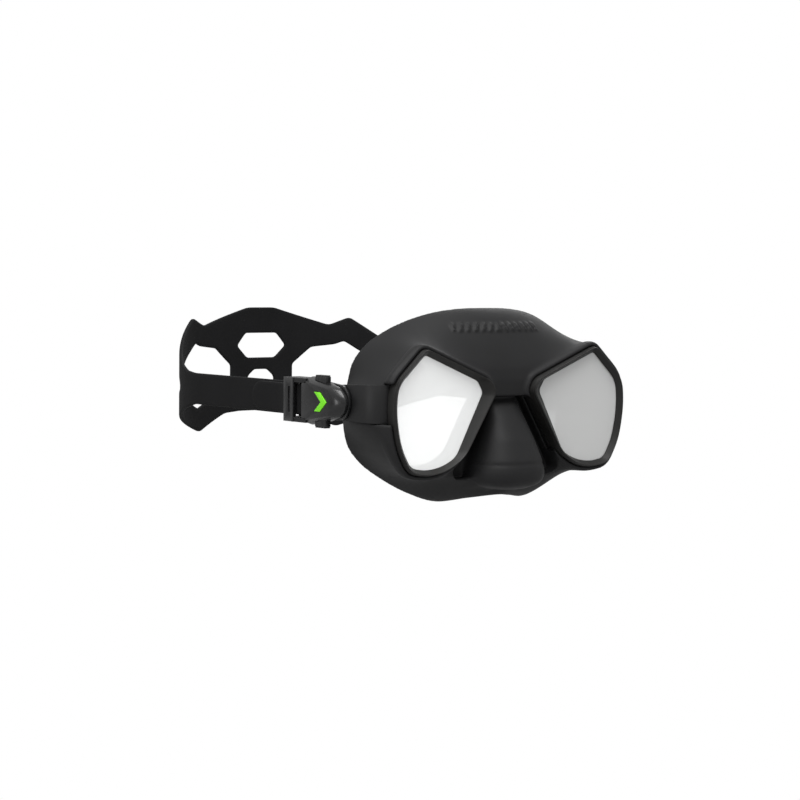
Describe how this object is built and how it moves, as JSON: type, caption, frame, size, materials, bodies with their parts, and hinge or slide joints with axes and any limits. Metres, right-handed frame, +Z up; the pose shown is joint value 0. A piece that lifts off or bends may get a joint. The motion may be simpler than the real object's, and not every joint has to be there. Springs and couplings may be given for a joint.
{
  "type": "diving mask",
  "caption": "Low-volume two-window diving mask: black silicone skirt with nose pocket, rimmed glass lenses, swivel buckles with release buttons and a split silicone strap.",
  "frame": {"origin": "middle of the face seal, on the mask's plane of symmetry, 30 mm behind the front face of the glass", "axes": "+Y from the mask back over the diver's head, +Z up, +X towards the diver's left; the mask looks along -Y"},
  "size_m": [0.1772, 0.233, 0.0936],
  "materials": {
    "skirt_silicone": "fine satin moulded silicone",
    "strap_silicone": "matte moulded silicone",
    "frame_plastic": "fine moulded texture",
    "bezel_plastic": "satin moulded plastic",
    "buckle_plastic": "semi-gloss moulded plastic",
    "accent_plastic": "lime green inlay",
    "lens_glass": "polished tempered glass",
    "steel": "plain stainless"
  },
  "bodies": {
    "mask": {"skirt": "skirt_silicone", "mask_frame": "frame_plastic", "left_lens": "lens_glass", "right_lens": "lens_glass", "left_bezel": "bezel_plastic", "right_bezel": "bezel_plastic", "left_swivel_pin": "steel", "right_swivel_pin": "steel"},
    "strap_set": {"strap": "strap_silicone", "left_buckle_base": "buckle_plastic", "left_buckle_cover": "buckle_plastic", "left_badge": "accent_plastic", "left_upper_spring": "steel", "left_lower_spring": "steel", "left_roller_axle": "steel", "right_buckle_base": "buckle_plastic", "right_buckle_cover": "buckle_plastic", "right_badge": "accent_plastic", "right_upper_spring": "steel", "right_lower_spring": "steel", "right_roller_axle": "steel"},
    "left_upper_release": {"left_upper_button": "buckle_plastic"},
    "left_lower_release": {"left_lower_button": "buckle_plastic"},
    "left_roller_set": {"left_strap_roller": "buckle_plastic"},
    "right_upper_release": {"right_upper_button": "buckle_plastic"},
    "right_lower_release": {"right_lower_button": "buckle_plastic"},
    "right_roller_set": {"right_strap_roller": "buckle_plastic"}
  },
  "joints": [
    {"name": "strap_swing", "type": "hinge", "parent": "mask", "child": "strap_set", "pos_m": [0, -0.0025, 0.0006], "axis": [1, 0, 0], "range_deg": [-30, 30]},
    {"name": "left_upper_press", "type": "slide", "parent": "strap_set", "child": "left_upper_release", "axis": [0, 0, -1], "range_m": [0, 0.0016], "stiffness_N_per_m": 900, "springref_m": -0.001, "deforming": ["left_upper_spring"]},
    {"name": "left_lower_press", "type": "slide", "parent": "strap_set", "child": "left_lower_release", "axis": [0, 0, 1], "range_m": [0, 0.0016], "stiffness_N_per_m": 900, "springref_m": -0.001, "deforming": ["left_lower_spring"]},
    {"name": "left_roller_spin", "type": "hinge", "parent": "strap_set", "child": "left_roller_set", "pos_m": [0.0815, 0.0265, 0.0006], "axis": [0, 0, 1], "continuous": true},
    {"name": "right_upper_press", "type": "slide", "parent": "strap_set", "child": "right_upper_release", "axis": [0, 0, -1], "range_m": [0, 0.0016], "stiffness_N_per_m": 900, "springref_m": -0.001, "deforming": ["right_upper_spring"]},
    {"name": "right_lower_press", "type": "slide", "parent": "strap_set", "child": "right_lower_release", "axis": [0, 0, 1], "range_m": [0, 0.0016], "stiffness_N_per_m": 900, "springref_m": -0.001, "deforming": ["right_lower_spring"]},
    {"name": "right_roller_spin", "type": "hinge", "parent": "strap_set", "child": "right_roller_set", "pos_m": [-0.0815, 0.0265, 0.0006], "axis": [0, 0, 1], "continuous": true}
  ]
}
